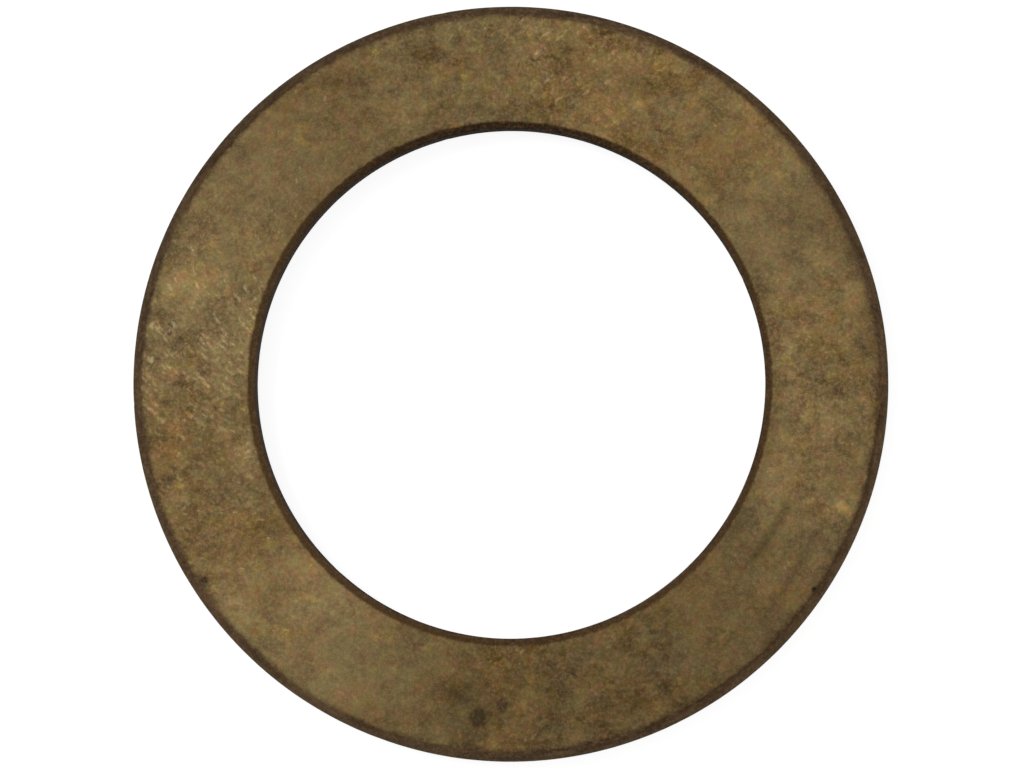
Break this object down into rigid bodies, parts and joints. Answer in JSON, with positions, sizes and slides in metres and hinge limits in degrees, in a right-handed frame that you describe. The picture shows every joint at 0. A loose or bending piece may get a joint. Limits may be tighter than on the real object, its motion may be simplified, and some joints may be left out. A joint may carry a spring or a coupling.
{
  "type": "axle washer",
  "caption": "Flat bronze thrust washer for an axle, with plain faces and chamfered edges and bore.",
  "frame": {"origin": "centre of the lower face, on the axis of the bore", "axes": "+Z along the bore's axis, from the lower face to the upper face; the ring looks the same about it, so +X and +Y are any two square directions across the face"},
  "size_m": [0.075, 0.075, 0.005],
  "materials": {
    "bronze": "matte"
  },
  "bodies": {
    "root": {"washer": "bronze"}
  },
  "joints": []
}
